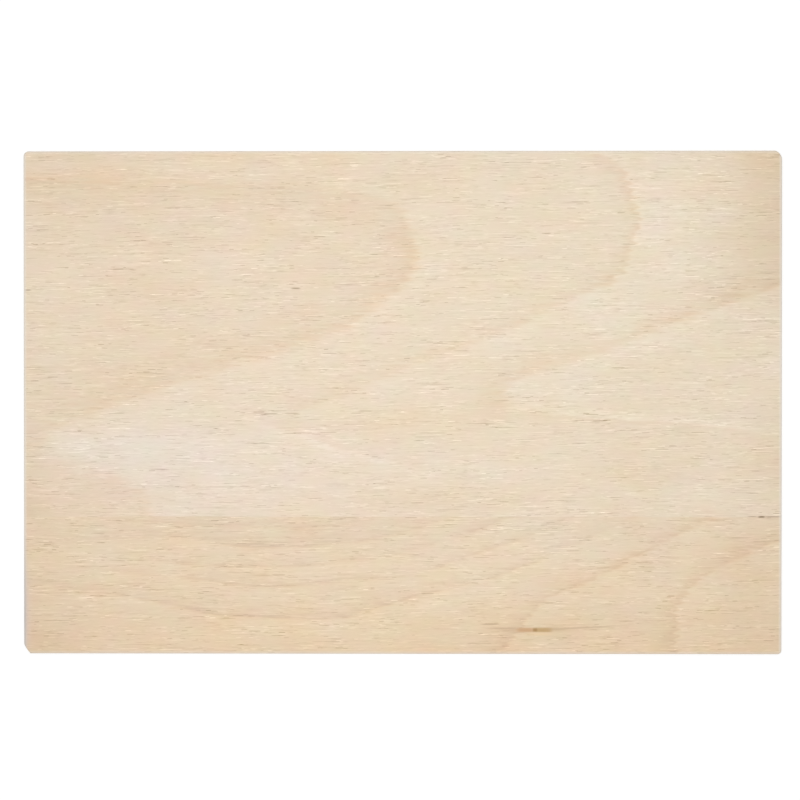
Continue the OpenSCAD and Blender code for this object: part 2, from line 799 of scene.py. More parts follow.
UPPER_LEAF = VeneerLeaf(
    name="leaf_upper",
    ground=4.0,
    warmth=0.0,
    lines=(
        RingLine(
            "ring_tan_lobe",
            (
                (-100, -50, 0.6), (-102, -40, 0.8), (-107, -33, 0.8), (-127, -26, 0.6), (-142, -19, 0.6),
                (-141, -12, 0.8), (-121, -3, 1), (-85, 9, 1), (-56, 18, 1), (-35, 25.5, 1),
                (-21, 30.5, 1.1), (-6, 41.8, 1.2), (2, 48.5, 1.3), (5.5, 58.5, 1.3), (3, 67.5, 1.2),
                (-0.5, 76, 1), (-9, 80.5, 0.8), (-23, 83, 0.6), (-40, 85, 0.5), (-80, 86.5, 0.5),
                (-150, 90.5, 0.7), (-170, 94, 0.7),
            ),
            side=-4.0,
            late=-6.0,
            late_reach=8.0,
            early=1.5,
            early_reach=7.0,
            softness=3.4,
        ),
        RingLine(
            "ring_lobe_top",
            (
                (-12, 81.5, 0), (-23, 83, 0.6), (-45, 85.2, 0.9), (-66, 86.4, 0.6), (-85, 86.8, 0.9),
                (-104, 87, 0.5), (-124, 87.4, 0.7), (-150, 88.8, 1), (-170, 90.5, 1),
            ),
            late=-5.0,
            late_reach=1.8,
            softness=1.1,
            cool=0.5,
        ),
        RingLine(
            "ring_thin",
            (
                (-20, -9.5, 0), (-38, -8, 0.3), (-44, -6.2, 0.6), (-41, -3.7, 0.7), (-17, 6.2, 0.8),
                (19, 21, 0.8), (48.5, 32, 0.9), (67, 41.4, 1), (76.5, 45, 1.1), (84, 48.5, 1.1),
                (88.5, 55.7, 1.1), (92.5, 66, 1.2), (93.5, 72, 1.2), (91.5, 79, 1.2), (90, 85.7, 1.2),
                (86, 92.8, 1.1), (78, 98, 1), (68, 104, 1),
            ),
            late=-8.5,
            late_reach=3.2,
            early=4.5,
            early_reach=5.0,
            softness=2.0,
            core=-0.5,
        ),
        RingLine(
            "ring_pale_arm",
            (
                (-66, -5, 0), (-54, -9, 0.8), (-36, -13.8, 1), (-25, -18.5, 1), (4, -25.7, 0.7), (24, -34, 0),
            ),
            late=-2.0,
            late_reach=5.0,
            early=8.0,
            early_reach=2.6,
            softness=1.2,
        ),
        RingLine(
            "ring_wedge_top",
            (
                (46, -3, 0), (41, 1.5, 0.6), (40, 4, 0.9), (41.5, 7, 0.9), (49, 10.9, 0.8),
                (59.5, 14.9, 0.7), (85, 22, 0.8), (94, 26, 0.9), (108.5, 31.9, 1), (125.5, 37.9, 1),
                (149.5, 46.6, 1.1), (160, 51, 1.1),
            ),
            late=-8.5,
            late_reach=4.5,
            early=5.0,
            early_reach=5.0,
            softness=1.9,
            core=-0.5,
        ),
        RingLine(
            "ring_wedge_floor",
            (
                (160, -16, 0.4), (149.5, -14, 0.5), (133.5, -10.6, 0.8), (117.5, -8.4, 1), (98, -7.4, 1.1),
                (73, -6, 1.1), (62, -4.8, 1), (51.5, -2.5, 0.7), (43, 1, 0),
            ),
            late=-3.0,
            late_reach=3.0,
            early=8.0,
            early_reach=2.2,
            softness=1.0,
        ),
    ),
    blooms=(
        Bloom((-150, 97), (45, 18), -4.0),
        Bloom((-75, 97), (80, 8), -4.0, 2.0),
        Bloom((-118, 91), (15, 3.5), -1.5, 4.0),
        Bloom((-85, 56), (75, 28), 1.5, 0.0, 1.5),
        Bloom((75, 38), (75, 60), 0.0, 0.0, -2.5),
        Bloom((-125, 40), (35, 25), 1.5, 2.0),
        Bloom((-146, 40), (20, 20), 2.0, -1.0),
        Bloom((-60, 34), (20, 16), 1.5, -1.0),
        Bloom((-104, 46), (16, 14), -2.5),
        Bloom((-68, 58), (12, 9), 2.5),
        Bloom((-30, 38), (14, 8), 2.5),
        Bloom((-5, 86), (14, 7), -3.0),
        Bloom((-40, 87), (30, 6), -2.0),
        Bloom((71, 86), (12, 12), 2.5),
        Bloom((104, 80), (18, 24), 4.0, 2.0),
        Bloom((140, 98), (10, 12), -4.0),
        Bloom((153, 82), (20, 45), -11.0),
        Bloom((140, 58), (16, 22), -1.5, -3.0),
        Bloom((128, 44), (12, 5), -2.0, -2.0),
        Bloom((146, 53), (12, 7), -3.0, -2.0),
        Bloom((105, 55), (10, 14), 3.0),
        Bloom((82, 34), (22, 10), 4.0),
        Bloom((142, 14), (14, 14), 3.0),
        Bloom((68, 6), (16, 7), 2.0, -2.0),
        Bloom((98, 1), (14, 10), -2.0),
        Bloom((35, 3), (9, 8), -4.0, 1.0),
        Bloom((5, -7), (30, 6), -3.5, 3.0),
        Bloom((-34, -1), (10, 3), -1.5),
        Bloom((-62, -9), (10, 4), -2.5),
        Bloom((-85, -24), (60, 16), 2.5, -5.5, 3.0),
        Bloom((-60, -38), (110, 12), 0.0, 0.0, 2.5),
        Bloom((-108, -17), (34, 8), 2.5, -2.0),
        Bloom((-74, -32), (8, 14), 2.5),
        Bloom((22, -26), (16, 8), 0.0, -3.5),
        Bloom((10, -39), (35, 6), -4.0),
        Bloom((65, -36), (12, 8), 1.0),
        Bloom((96, -28), (20, 9), -5.0),
        Bloom((70, -43), (60, 4), -2.0),
        Bloom((120, -36), (10, 8), 3.0),
        Bloom((147, -24), (14, 20), -5.0),
        Bloom((-150, -42), (10, 11), -9.0),
        Bloom((-126, -38), (16, 8), 1.0, 2.0, 2.0),
    ),
)

LOWER_LEAF = VeneerLeaf(
    name="leaf_lower",
    ground=-1.0,
    warmth=4.0,
    lines=(
        HairLine(
            "ring_under_joint",
            (
                (-150, -57, 0.4), (-125, -55.5, 0.5), (-104, -53.5, 0.7), (-85, -54, 0.9), (-64, -57, 1.1),
                (-48, -57.4, 1.1), (-29, -56.2, 1), (-9, -53.8, 0.9), (8, -49.2, 0.8), (20, -45, 0.5),
                (36, -38, 0),
            ),
            late=-7.5,
            late_reach=7.0,
            core=-1.5,
        ),
        HairLine(
            "ring_joint_hair",
            (
                (-120, -46, 0.3), (-108, -46.5, 0.7), (-84, -48.4, 0.9), (-60, -48.8, 1), (-41, -49.6, 1),
                (-25, -48.4, 0.8), (-13, -46.5, 0.6), (-5, -45, 0),
            ),
            late=-6.5,
            late_reach=1.5,
            core=-1.5,
        ),
        HairLine(
            "ring_upper_hair",
            (
                (-110, -60, 0.2), (-92, -63, 0.7), (-82, -64.2, 0.9), (-60, -65, 0.8), (-39, -64.6, 0.9),
                (-21, -62.5, 0.7), (-1, -60.2, 0.7), (16, -54.4, 0.8), (27, -51.9, 1), (35, -48.3, 1),
                (46, -44, 0.6), (60, -38, 0),
            ),
        ),
        HairLine(
            "ring_lower_hair",
            (
                (-150, -63, 0.2), (-125, -66, 0.4), (-102, -68, 0.6), (-78, -70.5, 0.9), (-60, -72.9, 1.1),
                (-43, -72.6, 1), (-25, -71.2, 0.8), (-1, -68.9, 0.8), (12, -66.1, 0.9), (28, -60.2, 1),
                (46, -54.3, 0.8), (65, -46.3, 0.6), (80, -38, 0),
            ),
        ),
        HairLine(
            "ring_long_bowl",
            (
                (-155, -71, 0.5), (-131, -74, 0.8), (-108, -77, 0.9), (-95, -79.6, 1), (-81, -82.8, 1.1),
                (-67, -84.7, 1.1), (-37, -85.8, 1.1), (-25, -85.2, 1.1), (-16, -83.2, 1), (-6, -80, 1),
                (14, -74.8, 0.9), (37, -68.9, 1), (52, -63, 1), (73, -53.9, 0.7), (92, -45, 0.5),
                (104, -38, 0),
            ),
            late=-9.0,
            late_reach=2.5,
        ),
        HairLine(
            "ring_rising",
            (
                (31, -112, 1), (39, -97.8, 1), (44.5, -92.6, 1), (50, -84.7, 1), (59, -76.9, 1),
                (68, -73, 0.9), (77.5, -69, 0.9), (89.5, -62.3, 1), (97.5, -58.3, 0.9), (109, -52, 0.9),
                (122, -46.1, 0.9), (136, -38, 0),
            ),
            late=-10.5,
            late_reach=2.8,
            early=2.0,
            cool=0.2,
        ),
        HairLine(
            "ring_right_corner",
            (
                (108, -120, 1), (108.2, -94, 1), (108.5, -86, 1), (109.5, -79.3, 0.9), (113.5, -74, 0.8),
                (118.5, -69.8, 0.8), (126.5, -64.5, 0.8), (139.5, -58, 1), (149.7, -54.2, 1.1),
                (160, -50, 1.1),
            ),
            late=-12.0,
            late_reach=3.4,
            early=3.5,
            softness=1.2,
            core=-1.0,
            cool=0.2,
        ),
    ),
    blooms=(
        Bloom((10, -50), (150, 9), 0.0, -4.0),
        Bloom((70, -50), (18, 8), 0.0, -3.0),
        Bloom((-155, -70), (20, 40), -4.0),
        Bloom((-150, -97), (25, 14), -7.0),
        Bloom((-82, -70), (15, 14), -2.0),
        Bloom((54, -58), (20, 8), 4.0),
        Bloom((12, -68), (16, 12), 2.5),
        Bloom((15, -103), (190, 17), -5.0, 1.5),
        Bloom((-28, -90), (16, 7), 3.0),
        Bloom((10, -86), (40, 9), 0.0, 1.0, -3.0),
        Bloom((-65, -92), (45, 8), 0.0, 3.5),
        Bloom((-135, -92), (25, 12), 0.0, 0.0, 3.0),
        Bloom((72, -88), (20, 8), -4.0, 1.5),
        Bloom((66, -97), (10, 5), 3.5),
        Bloom((36, -94), (7, 9), -4.0),
        Bloom((104, -96), (6, 8), -4.0),
        Bloom((137, -70), (12, 18), -6.0),
        Bloom((150, -99), (25, 16), -5.0),
        Bloom((117, -82), (8, 12), 0.0, 4.0, -2.0),
        Bloom((75, -100), (45, 3.5), 0.0, 4.0, 3.0),
        Bloom((15, -100), (20, 3.5), -1.0, 5.0, 2.0),
    ),
)


@dataclass(frozen=True)
class Stain:
    """A small mark with a colour of its own."""

    centre: Point
    reach: Point
    colour: Colour
    strength: float
    slope: float = 0.0
    hardness: float = 2.0

    def over(self, colour: Value, at: Place) -> Value:
        """Puts the mark over a colour.

        Args:
            colour: The colour under the mark.
            at: The place in the sheet.

        Returns:
            The colour with the mark on it.
        """
        own = (*self.centre, *self.reach, self.slope, self.hardness)
        mask = SoftPatch().place(at.x, at.y, *own)[0]
        return (mask * self.strength).blend(colour, linear(self.colour))


# The mineral streak is a bar in two halves with a dark core, a soft smear at each end, a tail to the right,
# two thin dashes at its left and a yellow rim below it.
MINERAL_STREAK = (
    Stain((43.0, -90.0), (5.5, 1.1), (208, 178, 146), 0.6, hardness=1.0),
    Stain((60.5, -89.6), (5.5, 0.9), (202, 176, 140), 0.65, hardness=1.0),
    Stain((54.0, -91.5), (5.0, 0.7), (238, 208, 168), 0.7, hardness=1.5),
    Stain((48.9, -89.95), (3.7, 0.9), (207, 168, 128), 0.95, hardness=2.5),
    Stain((55.7, -89.95), (3.6, 0.9), (196, 163, 115), 0.95, hardness=2.5),
    Stain((52.6, -89.95), (0.9, 0.7), (168, 130, 80), 0.8),
    Stain((72.0, -89.0), (13.0, 0.35), (200, 174, 143), 0.65, slope=0.05, hardness=1.5),
    Stain((34.8, -87.7), (3.4, 0.22), (186, 158, 128), 0.8),
    Stain((40.0, -89.3), (6.0, 0.3), (198, 170, 140), 0.6),
)
# The joint is open for a short way near the right edge, with a thin line on both sides of the gap.
OPEN_JOINT = (
    Stain((146.0, -45.5), (4.2, 0.7), (204, 182, 158), 0.4, hardness=1.0),
    Stain((142.0, -45.15), (1.3, 0.34), (140, 118, 92), 0.95),
    Stain((146.7, -45.05), (3.6, 0.22), (182, 160, 136), 0.85),
    Stain((138.4, -45.05), (1.9, 0.22), (188, 166, 140), 0.85),
)
# Two small dark specks, the second one at the left edge.
SPECKS = (
    Stain((-42.1, 45.2), (1.7, 0.32), (178, 156, 130), 0.85),
    Stain((-148.5, 44.6), (1.4, 0.32), (184, 164, 142), 0.75),
)
# The arris of the left edge turns greyer towards the near corner, with a faint pink border.
GREY_LEFT_RIM = (
    Stain((-149.6, -84.0), (2.0, 24.0), (223, 204, 194), 0.6, hardness=1.0),
    Stain((-150.2, -84.0), (1.1, 24.0), (186, 182, 178), 0.8, hardness=1.0),
)


@dataclass(frozen=True)
class FleckLayer:
    """One size of ray fleck.

    Lengths are in millimetres and depth is a tone in steps. Rarity is the power that makes strong flecks
    rarer than weak ones.
    """

    pitch: Point
    half_length: float
    half_width: float
    depth: float
    rarity: float
    seed: float

    def mark(self, along: Value, across: Value) -> Value:
        """Adds the layer's flecks, as a tone in steps."""
        own = (*self.pitch, self.half_length, self.half_width, self.rarity, self.seed)
        return RayFlecks().place(along, across, *own)[0] * self.depth


@dataclass(frozen=True)
class StreakLayer:
    """One size of fibre streak, with its swings in millimetres and its depth in steps."""

    swing: Point
    depth: float
    seed: float

    def mark(self, along: Value, across: Value) -> Value:
        """Adds the layer's streaks, as a tone in steps."""
        return FibreStreaks().place(along, across, *self.swing, self.seed)[0] * self.depth


class BareWood:
    """What the sheet's finishes share: bare sanded wood, whose flecks show in colour, gloss and relief."""

    part: Part
    grain: tuple[FleckLayer | StreakLayer, ...] = ()
    roughness = 0.62
    gloss = 0.3
    # How much one step of fleck lowers the roughness, and how deep it is cut, in metres.
    fleck_gloss = -0.004
    fleck_relief = 0.0000015
    relief_strength = 0.6

    def flecks(self, along: Value, across: Value) -> Value:
        """Adds up the wood's flecks and streaks, in steps."""
        return total(*(layer.mark(along, across) for layer in self.grain))

    def ground(self, at: Place) -> Figure:
        """Adds the wood's figure.

        Args:
            at: The place in the sheet.

        Returns:
            The figure at that place.
        """
        raise NotImplementedError

    def marks(self, colour: Value, at: Place) -> Value:
        """Adds what lies over the wood's own colour, which is nothing unless a finish says so.

        Args:
            colour: The wood's colour.
            at: The place in the sheet.

        Returns:
            The colour with the marks on it.
        """
        return colour

    def material(self) -> bpy.types.Material:
        """Builds the finish.

        Returns:
            The material.
        """
        made = bpy.data.materials.new(self.part.value)
        bench = NodeBench.cleared(made)
        metres = bench.split(bench.put("ShaderNodeTexCoord").outputs["Object"])
        at = Place(*(axis * (1 / MM) for axis in metres))
        figure = self.ground(at)
        colour = VeneerColour().place(*figure)[0]
        relief = {"Strength": self.relief_strength, "Distance": self.fleck_relief, "Height": figure.fleck}
        bench.surface(
            {
                "Base Color": self.marks(colour, at),
                "Roughness": figure.fleck.times_plus(self.fleck_gloss, self.roughness),
                "Specular IOR Level": self.gloss,
                "Normal": bench.put("ShaderNodeBump", relief).outputs["Normal"],
            }
        )
        return made


@dataclass(frozen=True)
class FaceVeneer(BareWood):
    """The face: two leaves of rotary-cut veneer, jointed edge to edge and sanded."""

    half_size: Point
    part: Part = Part.FACE
    upper: VeneerLeaf = UPPER_LEAF
    lower: VeneerLeaf = LOWER_LEAF
    stains: tuple[Stain, ...] = MINERAL_STREAK + OPEN_JOINT + SPECKS
    grey_left_rim: tuple[Stain, ...] = GREY_LEFT_RIM
    # The joint between the leaves: its place, how soft it looks and how far its border is torn.
    joint_y: float = -45.2
    joint_softness: float = 0.25
    joint_tear: float = 0.3
    grain: tuple[FleckLayer | StreakLayer, ...] = (
        FleckLayer((4.6, 0.75), 1.8, 0.3, 15.6, 2.5, 0.0),
        FleckLayer((8.5, 0.95), 3.8, 0.3, 16.0, 2.5, 71.3),
        FleckLayer((17.0, 1.2), 8.0, 0.28, 13.0, 2.5, 39.7),
        StreakLayer((4.0, 0.8), 7.0, 17.3),
        StreakLayer((17.0, 1.0), 7.0, 27.9),
    )
    # How far the grain wanders across the sheet, and the torn border of a ring along it, in millimetres.
    wander: Drift = Drift((60.0, 25.0), 0.8)
    tear: Drift = Drift((16.0, 1.7), 2.4, 2.0, 5.0)
    # How much the rings come and go, and how much the flecks come in bunches, with calmer wood between.
    gaps: Drift = Drift((11.0, 1.4), 0.8, 1.0, 83.0)
    bunches: Drift = Drift((22.0, 3.2), 0.95, 3.0, 97.0)
    # How the tone, the warmth and the pinkness change over the face, in steps.
    cloud: Drift = Drift((24.0, 10.0), 2.0, 2.0, 11.0)
    blush: Drift = Drift((16.0, 13.0), 3.6, 1.0, 40.0)
    pink: Drift = Drift((12.0, 8.0), 6.0, 2.0, 61.0)
    # The pale rim, partly sanded wood and partly a painted highlight on the arris that also offsets the
    # arris's own shading: where it fades, in millimetres, its colour, and its strength on short and long
    # sides.
    sanded_and_highlight_rim_fade: Point = (0.3, 1.5)
    sanded_and_highlight_rim_colour: Colour = (234, 226, 215)
    sanded_and_highlight_rim_strengths: Point = (0.75, 0.4)

    def keep(self, mesh: bpy.types.Mesh) -> None:
        """Keeps on a mesh what the finish needs to know about each place on the face.

        Args:
            mesh: The mesh that will wear the finish.
        """
        places = read_all(mesh.vertices, "co", 3) / MM
        above = places[:, 2] > places[:, 2].mean()
        for leaf in (self.upper, self.lower):
            for name, values in leaf.measure(places[above, :2]).items():
                spread = np.zeros((len(places), 3))
                spread[above] = values
                mesh.attributes.new(name, "FLOAT_VECTOR", "POINT").data.foreach_set("vector", spread.ravel())

    def ground(self, at: Place) -> Figure:
        """Adds the face's figure.

        Args:
            at: The place in the sheet.

        Returns:
            The figure at that place.
        """
        x, y, _ = at
        grain_y = self.wander.over(y, x, y)
        torn = self.tear.noise(x, grain_y)
        tear = torn * self.tear.depth
        presence = self.gaps.share(x, grain_y)
        leaves = [leaf.figure(tear, presence) for leaf in (self.lower, self.upper)]
        torn_y = torn.times_plus(self.joint_tear, y)
        above = torn_y.remap(self.joint_y - self.joint_softness, self.joint_y + self.joint_softness)
        both = Figure(*(above.lerp(lower, upper) for lower, upper in zip(*leaves)))
        crowd = self.bunches.share(x, grain_y)
        return Figure(
            tone=self.cloud.over(both.tone, x, y),
            warmth=self.blush.over(both.warmth, x, y),
            pink=self.pink.over(both.pink, x, y),
            fleck=self.flecks(x, grain_y).times_plus(crowd, both.fleck),
        )

    def marks(self, colour: Value, at: Place) -> Value:
        """Adds the stains, the open joint and the pale rim, which is partly sanded wood and partly a painted
        highlight.

        Args:
            colour: The wood's colour.
            at: The place in the sheet.

        Returns:
            The colour with the marks on it.
        """
        for stain in self.stains:
            colour = stain.over(colour, at)
        # The pale rim along the edges is partly sanded wood and partly a painted highlight on the arris.
        sanded_and_highlight_rims = []
        for place, half, strength in zip((at.x, at.y), self.half_size, self.sanded_and_highlight_rim_strengths):
            sanded_and_highlight_rims.append((half - abs(place)).remap(*self.sanded_and_highlight_rim_fade, strength, 0.0))
        colour = sanded_and_highlight_rims[0].at_least(sanded_and_highlight_rims[1]).blend(colour, linear(self.sanded_and_highlight_rim_colour))
        # The left arris turns greyer towards the near corner.
        for stain in self.grey_left_rim:
            colour = stain.over(colour, at)
        return colour


@dataclass(frozen=True)
class BackVeneer(BareWood):
    """The back: one plainer leaf of the same wood, with its rings in long waves."""

    part: Part = Part.BACK
    tone: float = -2.0
    # The rings: their width in millimetres, how dark their late wood is in steps, the power by which it
    # sets in, and the share of a ring at which it breaks off.
    ring_pitch: float = 27.0
    ring_tone: float = -8.0
    late_power: float = 3.0
    late_end: float = 0.96
    grain: tuple[FleckLayer | StreakLayer, ...] = (
        FleckLayer((6.5, 0.7), 3.0, 0.26, 20.0, 2.0, 113.0),
        StreakLayer((5.0, 0.85), 14.0, 133.0),
    )
    # How far the rings wave and how far their borders are torn, as shares of a ring.
    wave: Drift = Drift((150.0, 80.0), 1.6, seed=63.0)
    tear: Drift = Drift((14.0, 0.8), 0.03, 1.0, 55.0)
    # How the tone and the warmth change over the back, in steps.
    cloud: Drift = Drift((30.0, 12.0), 2.5, 2.0, 75.0)
    blush: Drift = Drift((18.0, 13.0), 4.0, 1.0, 82.0)

    def ground(self, at: Place) -> Figure:
        """Adds the back's figure.

        Args:
            at: The place in the sheet.

        Returns:
            The figure at that place.
        """
        x, y, _ = at
        ring = self.wave.over(y / self.ring_pitch, x, y)
        share = self.tear.over(ring, x, y).apply("FRACT")
        late = share**self.late_power * share.remap(self.late_end, 1.0, 1.0, 0.0)
        return Figure(
            tone=self.cloud.over(late.times_plus(self.ring_tone, self.tone), x, y),
            warmth=self.blush.over(0.0, x, y),
            pink=0.0,
            fleck=self.flecks(x, y),
        )


@dataclass(frozen=True)
class SawnEdge(BareWood):
    """The sawn edges: three plies, the middle one with its grain across the others, and two glue lines."""

    thickness: float
    face_ply: float
    part: Part = Part.EDGE
    # The glue lines: how far one reaches to each side, in millimetres, its colour and its strength.
    glue_reach: float = 0.1
    glue_colour: Colour = (150, 118, 84)
    glue_strength: float = 0.9
    long_grain_tone: float = -8.0
    end_grain_tone: float = -24.0
    # The fibres of long grain, the pores of end grain, and how the tone and the warmth change, in steps.
    fibres: Drift = Drift((9.0, 0.5, 0.35), 14.0, seed=21.0)
    pores: Drift = Drift((0.5, 0.35), 22.0, 1.0, 33.0)
    cloud: Drift = Drift((12.0, 12.0, 2.0), 5.0, seed=44.0)
    cloud_warmth: float = 2.0

    def from_glue(self, z: Value) -> Value:
        """Adds how far a height lies outside the two glue lines, in millimetres, below 0 between them."""
        return abs(z - self.thickness / 2) - (self.thickness / 2 - self.face_ply)

    def ground(self, at: Place) -> Figure:
        """Adds the plies, each as its own solid wood.

        Args:
            at: The place in the sheet.

        Returns:
            The figure at that place.
        """
        x, y, z = at
        outer = self.from_glue(z) > 0.0
        normal_x, _, _ = x.bench.split(x.bench.put("ShaderNodeTexCoord").outputs["Normal"])
        short_side = normal_x * normal_x
        end_grain = outer.lerp(1.0 - short_side, short_side)
        along = outer.lerp(y, x)
        across = outer.lerp(x, y)
        cloud = self.cloud.noise(x, y, z)
        tone = end_grain.lerp(self.long_grain_tone, self.end_grain_tone)
        return Figure(
            tone=cloud.times_plus(self.cloud.depth, tone),
            warmth=cloud * self.cloud_warmth,
            pink=0.0,
            fleck=end_grain.lerp(self.fibres.over(0.0, along, across, z), self.pores.over(0.0, across, z)),
        )

    def marks(self, colour: Value, at: Place) -> Value:
        """Adds the two glue lines.

        Args:
            colour: The wood's colour.
            at: The place in the sheet.

        Returns:
            The colour with the marks on it.
        """
        glue = abs(self.from_glue(at.z)).remap(0.0, self.glue_reach, self.glue_strength, 0.0)
        return glue.blend(colour, linear(self.glue_colour))


@dataclass(frozen=True)
class CornerCut:
    """One corner seen from above: how long it is along and across the sheet, and the power of its curve.

    A power of 2 makes a round corner, and a power of 1 a straight chamfer.
    """

    along: float
    across: float
    power: float = 2.0


@dataclass
class PlywoodSheet:
    """The whole sheet: one panel of three plies with sanded corners and arrises.

    Low and high are the ends of its box in metres. Its own lengths are in millimetres.
    """

    low: Vector
    high: Vector
    arris: float = 0.5
    arris_steps: int = 4
    face_ply: float = 1.2
    # A glue line's height, how deep it is sunk into the edge, and how deep the middle ply is.
    glue_line: float = 0.08
    glue_depth: float = 0.05
    core_depth: float = 0.02
    # How far a surface may lean before it counts as edge, as the upward share of its normal.
    face_lean: float = 0.3
    # The mesh: how long the finer zone of a corner is, its cells, and the cells between the corners.
    corner_zone: float = 4.2
    corner_cells: int = 10
    cells_along: int = 170
    cells_across: int = 112
    far_left: CornerCut = CornerCut(2.0, 2.0)
    far_right: CornerCut = CornerCut(2.7, 3.3, 1.6)
    near_left: CornerCut = CornerCut(2.5, 3.7, 1.15)
    near_right: CornerCut = CornerCut(1.5, 1.5)
    # The map, in shares of its side: its margin, the heights between which the face and the back lie, and
    # for the four edges the lowest height, the step from one to the next and the height of each.
    map_margin: float = 0.005
    face_rows: Point = (0.385, 0.995)
    back_rows: Point = (0.065, 0.375)
    edge_bottom: float = 0.004
    edge_step: float = 0.015
    edge_height: float = 0.011

    @property
    def size(self) -> Vector:
        """The sheet's length, width and thickness in millimetres."""
        return (self.high - self.low) / MM

    @property
    def half_size(self) -> Point:
        """Half of the sheet's length and width in millimetres."""
        return self.size.x / 2, self.size.y / 2

    def levels(self) -> list[Point]:
        """Lists the heights that the edge is built at.

        Returns:
            Each height from the underside and how far the edge lies inside the outline there, in millimetres.
        """
        lower = []
        for step in range(self.arris_steps + 1):
            turn = math.pi / 2 * step / self.arris_steps
            lower.append((self.arris * (1 - math.cos(turn)), self.arris * (1 - math.sin(turn))))
        lower += [
            (self.face_ply - self.glue_line, 0.0),
            (self.face_ply - self.glue_line / 2, self.glue_depth),
            (self.face_ply + self.glue_line / 2, self.glue_depth),
            (self.face_ply + self.glue_line, self.core_depth),
        ]
        upper = [(self.size.z - height, inset) for height, inset in reversed(lower)]
        return lower + upper

    def pick(self, index: Value, values: list[float]) -> Value:
        """Adds a choice between lengths.

        Args:
            index: Which one is taken, from 0.
            values: The lengths in millimetres.

        Returns:
            The length taken, in metres.
        """
        node = index.bench.put("GeometryNodeIndexSwitch", data_type="FLOAT")
        while len(node.index_switch_items) < len(values):
            node.index_switch_items.new()
        for socket, term in zip(node.inputs, [index, *(value * MM for value in values)]):
            index.bench.feed(socket, term)
        return Value(index.bench, node.outputs[0])

    def spread(self, place: Value, half: Value, cells: Value, zone: Value) -> Value:
        """Spaces the mesh lines along one axis, closer together in the corners.

        Args:
            place: The even place, from -1 to 1.
            half: Half of the sheet's size there, in metres.
            cells: How many cells lie between the corners.
            zone: How long a corner is, in metres.

        Returns:
            The distance from the middle, in metres.
        """
        even = abs(place)
        bend = cells / (cells + 2.0 * self.corner_cells)
        straight = even.remap(0.0, bend, 0.0, half - zone, False)
        return straight + even.remap(bend, 1.0, 0.0, zone, False)

    def corner_value(self, even: tuple[Value, Value], values: list[float]) -> Value:
        """Takes the value of the corner that a place is nearest to.

        Args:
            even: The even places along and across the sheet, from -1 to 1.
            values: The near left, near right, far left and far right values.

        Returns:
            The value at that place.
        """
        right, far = (place > 0.0 for place in even)
        return far.lerp(right.lerp(values[0], values[1]), right.lerp(values[2], values[3]))

    def outline(self, given: dict[str, Value], even: tuple[Value, Value], inset: Value) -> list[Value]:
        """Bends even places into the sheet's outline, with each corner's own curve.

        Args:
            given: The tree's inputs by name.
            even: The even places along and across the sheet, from -1 to 1.
            inset: How far the edge lies inside the outline, in metres.

        Returns:
            The places along and across the sheet, in metres.
        """
        cuts = (self.near_left, self.near_right, self.far_left, self.far_right)
        power = self.corner_value(even, [cut.power for cut in cuts])
        axes = (
            ("Length", "Cells Along", [cut.along * MM for cut in cuts]),
            ("Width", "Cells Across", [cut.across * MM for cut in cuts]),
        )
        cores, reaches, shares = [], [], []
        for place, (size, cells, lengths) in zip(even, axes):
            half = given[size] / 2.0 - inset
            out = self.spread(place, half, given[cells], given["Corner Zone"])
            reach = self.corner_value(even, lengths) - inset
            core = half - reach
            cores.append(out.at_most(core))
            reaches.append(reach)
            shares.append((out - core).at_least(0.0) / reach)
        norm = total(*(share**power for share in shares)) ** (1.0 / power)
        pull = shares[0].at_least(shares[1]) / norm.at_least(TINY)
        return [
            (share * pull).times_plus(reach, core) * place.apply("SIGN")
            for share, reach, core, place in zip(shares, reaches, cores, even)
        ]

    def coat(self, bench: NodeBench, given: dict[str, Value], piece: Socket) -> Socket:
        """Gives each part of the surface its own finish.

        Args:
            bench: Where the nodes go.
            given: The tree's inputs by name.
            piece: The shaped sheet.

        Returns:
            The sheet with its finishes.
        """
        _, _, up = bench.split(bench.put("GeometryNodeInputNormal").outputs["Normal"])
        chosen = {Part.EDGE: True, Part.FACE: up > self.face_lean, Part.BACK: up < -self.face_lean}
        for part, selection in chosen.items():
            inputs = {"Geometry": piece, "Selection": selection, "Material": given[part.value]}
            piece = bench.put("GeometryNodeSetMaterial", inputs).outputs[0]
        return piece

    def form(self) -> bpy.types.NodeTree:
        """Builds the geometry nodes that shape the sheet.

        Returns:
            The node tree.
        """
        tree = bpy.data.node_groups.new(FORM, "GeometryNodeTree")
        sockets = {
            "Length": FLOAT,
            "Width": FLOAT,
            "Cells Along": "NodeSocketInt",
            "Cells Across": "NodeSocketInt",
            "Corner Zone": FLOAT,
            **{part.value: "NodeSocketMaterial" for part in Part},
        }
        for name, kind in sockets.items():
            tree.interface.new_socket(name=name, in_out="INPUT", socket_type=kind)
        tree.interface.new_socket(name="Geometry", in_out="OUTPUT", socket_type="NodeSocketGeometry")
        bench = NodeBench(tree)
        entry = bench.put("NodeGroupInput")
        given = {name: Value(bench, entry.outputs[name]) for name in sockets}
        levels = self.levels()
        corner_lines = 2.0 * self.corner_cells + 1.0
        # The block runs from -1 to 1 on each axis, with one layer for each level of the edge.
        block = bench.put(
            "GeometryNodeMeshCube",
            {
                "Size": (2.0, 2.0, 2.0),
                "Vertices X": given["Cells Along"] + corner_lines,
                "Vertices Y": given["Cells Across"] + corner_lines,
                "Vertices Z": len(levels),
            },
        )
        u, v, w = bench.split(bench.put("GeometryNodeInputPosition").outputs["Position"])
        level = w.remap(-1.0, 1.0, 0.0, len(levels) - 1.0, False).apply("ROUND")
        height = self.pick(level, [height for height, _ in levels])
        inset = self.pick(level, [inset for _, inset in levels])
        place = bench.join(*self.outline(given, (u, v), inset), height)
        piece = bench.put("GeometryNodeSetPosition", {"Geometry": block.outputs["Mesh"], "Position": place})
        for kind in ("GeometryNodeSetShadeSmooth", "GeometryNodeRealizeInstances"):
            piece = bench.put(kind, {"Geometry": piece.outputs[0]})
        bench.put("NodeGroupOutput", {"Geometry": self.coat(bench, given, piece.outputs[0])})
        return tree

